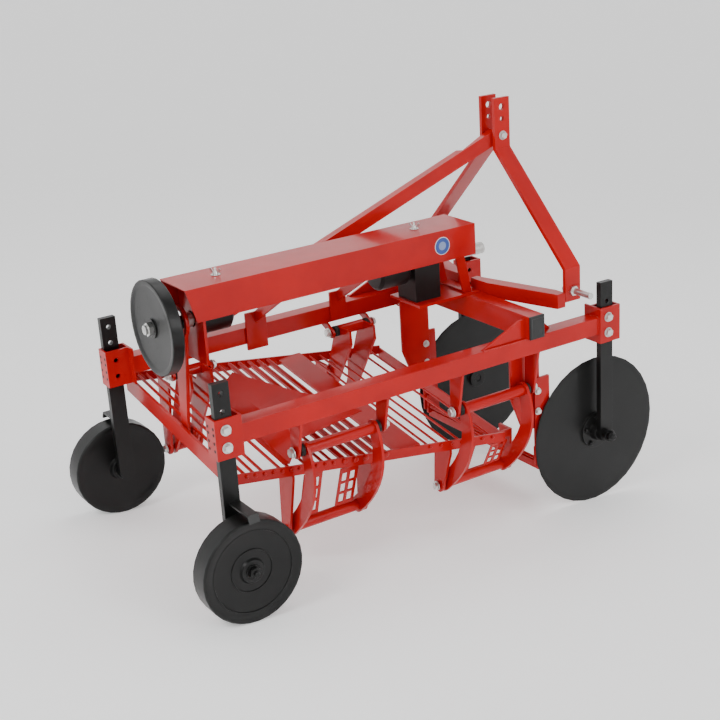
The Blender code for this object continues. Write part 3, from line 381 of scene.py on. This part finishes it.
for tag, side, first, last, x, z in units[:2]:
    foot = Vector((x - arm_reach, 0, z - arm_drop))
    mesh = bmesh.new()
    for y_start in (first + 0.020, last - 0.078):
        top = Vector((0.2480, 0, slope_height(0.248, y_start + 0.030) - 0.0225))
        down = foot - top
        length = down.length - 0.0225
        down.normalize()
        half_thick = Vector((-down.z, 0, down.x)) * 0.0018
        across_cuts = [0.0, 0.009, 0.024, 0.034, 0.049, 0.058]
        down_cuts = [0.0, length * 0.14, length * 0.36, length * 0.42, length * 0.64, length * 0.70,
                     length * 0.92, length]
        grid = {}
        for layer in (-1, 1):
            for a, v in enumerate(across_cuts):
                for b, w in enumerate(down_cuts):
                    spot = top + down * w + half_thick * layer + Vector((0, y_start + v, 0))
                    grid[layer, a, b] = mesh.verts.new(parked @ spot)
        solid = {(a, b) for a in range(5) for b in range(7) if not (a in (1, 3) and b in (1, 3, 5))}
        for a, b in sorted(solid):
            for layer in (-1, 1):
                around = (grid[layer, a, b], grid[layer, a + 1, b], grid[layer, a + 1, b + 1],
                          grid[layer, a, b + 1])
                mesh.faces.new(around[::layer])
            for da, db, one, two in ((-1, 0, (a, b), (a, b + 1)), (1, 0, (a + 1, b), (a + 1, b + 1)),
                                     (0, -1, (a, b), (a + 1, b)), (0, 1, (a, b + 1), (a + 1, b + 1))):
                if (a + da, b + db) not in solid:
                    mesh.faces.new((grid[-1, *one], grid[-1, *two], grid[1, *two], grid[1, *one]))
    finished("perforated_plates_" + tag, mesh, red_coat, "sieve", width=0.0006)
mesh = bmesh.new()
rod_groups = ((0.090, 0.0255, 11, 0.0045), (0.380, 0.0325, 5, 0.0085), (0.655, 0.0360, 7, 0.0038))
for start, pitch, count, radius in rod_groups:
    for k in range(count):
        y = start + k * pitch
        place = facing((0.2570, y, slope_height(0.257, y)), (1, 0, -0.15))
        stud = max(radius, 0.0050)
        rings(mesh, 14, [(stud, -0.0008), (stud, 0.0030), (stud * 0.86, 0.0052),
                         (stud * 0.45, 0.0066)], place)
finished("rod_ends", mesh, red_coat, "sieve")


# ---- Crossbeam end caps ----
# Moulded black plastic caps on the ends of the crossbeam, with rounded edges and a shallow
# sunk face.
def moulded(name):
    made, tree, shader, point = surface(name, Specular_IOR_Level=0.4)
    grain = point.noise(300.0, 4.0)
    tone = point.noise(30.0).blend((0.009, 0.009, 0.010, 1), (0.022, 0.022, 0.022, 1))
    feed(tree, shader, Base_Color=tone, Roughness=0.38 + 0.2 * grain, Normal=bump(grain, 0.3, 0.0004))
    return made


cap_plastic = moulded("black_moulded_plastic")
for tag, side in (("left", -1), ("right", 1)):
    mesh = bmesh.new()
    rows = []
    for out, half_y, half_z in ((-0.002, 0.0254, 0.0331), (0.003, 0.0254, 0.0331), (0.0052, 0.0238, 0.0315),
                                (0.0058, 0.0190, 0.0265), (0.0046, 0.0180, 0.0255)):
        corners = ((-1, -1), (1, -1), (1, 1), (-1, 1))
        rows.append([mesh.verts.new(parked @ Vector((side * (0.3551 + out), 0.960 + a * half_y,
                                                     0.5221 + b * half_z))) for a, b in corners])
    for lower, upper in zip(rows, rows[1:]):
        for k in range(4):
            mesh.faces.new((lower[k - 1], lower[k], upper[k], upper[k - 1]))
    mesh.faces.new(rows[0])
    mesh.faces.new(rows[-1])
    finished("crossbeam_cap_" + tag, mesh, cap_plastic, "frame", width=0.0008)


# ---- Wing nuts on the cover ----
# Two studs stand through the top of the shaft cover, each with a washer and a pressed wing
# nut, so that the cover comes off by hand for greasing.
for tag, y in (("rear", 0.185), ("front", 0.815)):
    mesh = bmesh.new()
    place = facing((0, y, 0.7603), (0, 0, 1))
    rings(mesh, 24, [(0.0125, 0.0), (0.0128, 0.0006), (0.0128, 0.0015), (0.0120, 0.0019)], place)
    rings(mesh, 18, [(0.0072, 0.0018), (0.0074, 0.0030), (0.0060, 0.0085), (0.0048, 0.0092)], place)
    thread = [(0.0036, 0.0085)]
    for k in range(6):
        thread += [(0.0038, 0.0090 + k * thread_pitch), (0.0033, 0.0098 + k * thread_pitch)]
    rings(mesh, 14, thread + [(0.0026, 0.0192)], place)
    for way in (-1, 1):
        wing = [(0.0045, 0.0028), (0.0085, 0.0045), (0.0150, 0.0105), (0.0172, 0.0160), (0.0150, 0.0190),
                (0.0115, 0.0178), (0.0085, 0.0120), (0.0045, 0.0085)]
        turned = place @ Matrix.Rotation(0.5, 4, "Z")
        sides = [[mesh.verts.new(turned @ Vector((way * a, depth, b))) for a, b in wing]
                 for depth in (-0.0013, 0.0013)]
        for k in range(len(wing)):
            mesh.faces.new((sides[0][k - 1], sides[0][k], sides[1][k], sides[1][k - 1]))
        mesh.faces.new(sides[0])
        mesh.faces.new(sides[1])
    finished("wing_nut_" + tag, mesh, zinc, "frame", width=0.0004)


# ---- Round plate on the cover ----
# A thin round foil of two plain blue and white bands, glued to the right side of the cover
# near its front end. It carries no mark and no lettering.
def foil(name, centre):
    made, tree, shader, point = surface(name, Specular_IOR_Level=0.5, Coat_Roughness=0.15)
    away = point.node("ShaderNodeVectorMath", {"operation": "DISTANCE"}, {0: point, 1: centre}, output=1)
    ring = away.steps(0.0235, 0.0240)
    inner = 1 - away.steps(0.0120, 0.0124)
    tone = ring.blend((0.012, 0.055, 0.30, 1), (0.72, 0.74, 0.78, 1))
    tone = (inner * 0.55).blend(tone, (0.35, 0.45, 0.62, 1))
    feed(tree, shader, Base_Color=tone, Roughness=0.28 + 0.15 * point.noise(140.0),
         Coat_Weight=0.4 + 0.1 * inner,
         Normal=bump(point.noise(60.0), 0.08, 0.0005))
    return made


plate_centre = parked @ Vector((0.0731, 0.858, 0.716))
mesh = bmesh.new()
rings(mesh, 48, [(0.0255, 0.0), (0.0255, 0.0003), (0.0251, 0.0005)],
      facing((0.0727, 0.858, 0.716), (1, 0, 0)))
finished("cover_round_plate", mesh, foil("blue_white_foil", tuple(plate_centre)), "frame")


# ---- Flywheel, wheel and coulter fastenings ----
# A plated disc closes the shaft behind the flywheel, and the coupling wears a black sleeve.
# The wheels have pressed beads and a black nut, and the discs have flange bolts and a nut.
shaft_height, wheel_axle_height, disc_axle_height, flange_radius = 0.659, 0.1365, 0.121, 0.043
mesh = bmesh.new()
place = facing((0, -0.0222, shaft_height), (0, -1, 0))
rings(mesh, 24, [(0.0125, 0.0), (0.0125, 0.0060), (0.0110, 0.0074)], place)
rings(mesh, 16, [(0.0060, 0.0070), (0.0060, 0.0085), (0.0045, 0.0088)], place)
finished("flywheel_shaft_end", mesh, zinc, "drive_line")
mesh = bmesh.new()
rings(mesh, 40, [(0.0408, -0.0004), (0.0496, 0.0076), (0.0496, 0.0300), (0.0494, 0.0310),
                 (0.0494, 0.0690), (0.0496, 0.0700), (0.0496, 0.0924), (0.0408, 0.1004)],
      facing((0, 0.668, shaft_height), (0, 1, 0)))
finished("coupling_sleeve", mesh, satin_black, "drive_line", width=0.0006)
for tag, side in (("left", -1), ("right", 1)):
    mesh = bmesh.new()
    place = facing((side * 0.4215, rear_shank_y, wheel_axle_height), (side, 0, 0))
    bolt(mesh, place, 0.0175)
    rings(mesh, 12, [(0.0075, 0.013), (0.0075, 0.0200), (0.0060, 0.0212)], place)
    finished("wheel_nut_" + tag, mesh, satin_black, "wheel_" + tag)
    mesh = bmesh.new()
    for radius, spot in ((0.1090, 0.4195), (0.0560, 0.4135)):
        inner, outer = radius - 0.0030, radius + 0.0030
        sides = 72
        profile = [(inner, -0.002), (radius - 0.0012, 0.0022), (radius + 0.0012, 0.0022), (outer, -0.002)]
        place = facing((side * spot, rear_shank_y, wheel_axle_height), (side, 0, 0))
        rows = [[mesh.verts.new(place @ Vector((r * cos(2 * pi * k / sides),
                                                r * sin(2 * pi * k / sides), h)))
                 for k in range(sides)] for r, h in profile]
        for one, two in zip(rows, rows[1:] + rows[:1]):
            for k in range(sides):
                mesh.faces.new((one[k], one[k - 1], two[k - 1], two[k]))
    finished("wheel_beads_" + tag, mesh, disc_black, "wheel_" + tag)
    mesh = bmesh.new()
    for k in range(5):
        angle = 2 * pi * k / 5 + 0.35
        spot = (side * 0.2995, front_shank_y + flange_radius * cos(angle),
                disc_axle_height + flange_radius * sin(angle))
        bolt(mesh, facing(spot, (side, 0, 0)), 0.0078, 0.003)
    finished("coulter_flange_bolts_" + tag, mesh, satin_black, "coulter_" + tag)
    mesh = bmesh.new()
    bolt(mesh, facing((side * 0.3539, front_shank_y, disc_axle_height), (side, 0, 0)), 0.0165, 0.008)
    finished("coulter_axle_nut_" + tag, mesh, satin_black, "frame")


# ---- Weld beads ----
# Fillet welds run where tubes and plates meet. Each bead is a rippled rope of metal laid in
# small overlapping drops, painted over with the frame.
def bead(mesh, start, end, radius=0.0028):
    """A rippled rope of weld between two points of the machine."""
    start, end = Vector(start), Vector(end)
    run = end - start
    count = max(3, int(run.length / 0.0035))
    place = parked @ Matrix.Translation(start) @ run.to_track_quat("Z", "Y").to_matrix().to_4x4()
    levels = [(radius * 0.3, 0.0)]
    for k in range(count):
        levels += [(radius * (0.86 + 0.06 * sin(k * 2.3)), run.length * (k + 0.25) / count),
                   (radius * (1.04 + 0.07 * sin(k * 1.7)), run.length * (k + 0.75) / count)]
    rings(mesh, 8, levels + [(radius * 0.3, run.length)], place)


mesh = bmesh.new()
beam_top_weld = 0.4895
for side in (-1, 1):
    bead(mesh, (side * 0.341, 0.786, beam_top_weld), (side * 0.341, 0.934, beam_top_weld))
    bead(mesh, (side * 0.291, 0.936, beam_top_weld), (side * 0.291, 0.984, beam_top_weld))
    bead(mesh, (side * 0.292, 0.985, beam_top_weld), (side * 0.340, 0.985, beam_top_weld))
    bead(mesh, (side * 0.292, 0.935, beam_top_weld), (side * 0.340, 0.935, beam_top_weld))
    for y in (0.0472, 1.1998):
        bead(mesh, (side * 0.341, y, 0.440), (side * 0.341, y, 0.488))
        bead(mesh, (side * 0.291, y, 0.440), (side * 0.291, y, 0.488))
        bead(mesh, (side * 0.292, y, 0.4892), (side * 0.340, y, 0.4892))
    bead(mesh, (side * 0.2735, 0.935, 0.4388), (side * 0.2905, 0.935, 0.4388))
for tag, side, first, last, x, z in units:
    for y in (first - 0.026, last + 0.026):
        for way in (-1, 1):
            bead(mesh, (side * 0.293, y + way * 0.0042, 0.4384),
                 (side * 0.339, y + way * 0.0042, 0.4384), 0.0024)
finished("frame_welds", mesh, red_coat, "frame")


# ---- Floor, light and camera ----
# A plain pale floor that curves up into a round backdrop on all sides, three soft lamps and
# a weak fill. None of this belongs to the machine.
floor_made, tree, shader, point = surface("pale_floor", Specular_IOR_Level=0.1, Emission_Strength=0.32)
feed(tree, shader, Base_Color=point.noise(3.0).blend((0.90, 0.90, 0.90, 1), (0.94, 0.94, 0.94, 1)),
     Roughness=0.65 + 0.1 * point.noise(9.0))
shader.inputs["Emission Color"].default_value = (1, 1, 1, 1)
mesh = bmesh.new()
curve = [(6.0 + 3.0 * sin(pi * k / 24), 3.0 - 3.0 * cos(pi * k / 24)) for k in range(1, 13)]
profile = [(6.0, 0.0)] + curve + [(9.0, 16.0)]
rows = [[mesh.verts.new((r * cos(2 * pi * k / 96), r * sin(2 * pi * k / 96), z)) for k in range(96)]
        for r, z in profile]
mesh.faces.new(rows[0])
for near, far in zip(rows, rows[1:]):
    for k in range(96):
        mesh.faces.new((near[k - 1], near[k], far[k], far[k - 1]))
bmesh.ops.recalc_face_normals(mesh, faces=mesh.faces)
bmesh.ops.reverse_faces(mesh, faces=mesh.faces)
data = bpy.data.meshes.new("studio_floor")
mesh.to_mesh(data)
mesh.free()
data.materials.append(floor_made)
for face in data.polygons:
    face.use_smooth = len(face.vertices) == 4
floor = bpy.data.objects.new("studio_floor", data)
bpy.context.scene.collection.objects.link(floor)


def lamp(name, spot, target, size, power):
    light = bpy.data.lights.new(name, "AREA")
    light.shape, light.size, light.size_y = "RECTANGLE", size[0], size[1]
    light.energy = power
    made = bpy.data.objects.new(name, light)
    made.location = spot
    made.rotation_euler = (Vector(target) - Vector(spot)).to_track_quat("-Z", "Y").to_euler()
    bpy.context.scene.collection.objects.link(made)


lamp("key_lamp", (1.2, -3.6, 3.2), (0, 0, 0.4), (1.6, 1.2), 72)
lamp("side_lamp", (4.4, 0.9, 2.2), (0, 0, 0.4), (1.4, 1.8), 44)
lamp("top_lamp", (-0.8, 0.8, 4.4), (0, 0, 0.3), (2.6, 2.6), 56)
world = bpy.data.worlds.new("white_studio")
world.use_nodes = True
world.node_tree.nodes["Background"].inputs["Color"].default_value = (1, 1, 1, 1)
world.node_tree.nodes["Background"].inputs["Strength"].default_value = 0.12
bpy.context.scene.world = world

lens = bpy.data.cameras.new("three_quarter_camera")
lens.sensor_width, lens.lens = 36.0, 68.42
lens.shift_x, lens.shift_y = -0.0291, -0.0019
lens.clip_start = 0.05
camera = bpy.data.objects.new("three_quarter_camera", lens)
bpy.context.scene.collection.objects.link(camera)
azimuth, elevation, roll = radians(57.306), radians(20.141), radians(-3.4816)
back = Vector((sin(azimuth) * cos(elevation), -cos(azimuth) * cos(elevation), sin(elevation)))
right = (-back).cross(Vector((0, 0, 1))).normalized()
up = right.cross(-back)
across = right * cos(roll) + up * sin(roll)
upward = up * cos(roll) - right * sin(roll)
stand = Matrix((across, upward, back)).transposed().to_4x4()
camera.matrix_world = parked @ Matrix.Translation((3.0936, -1.3082, 1.7523)) @ stand
bpy.context.scene.camera = camera
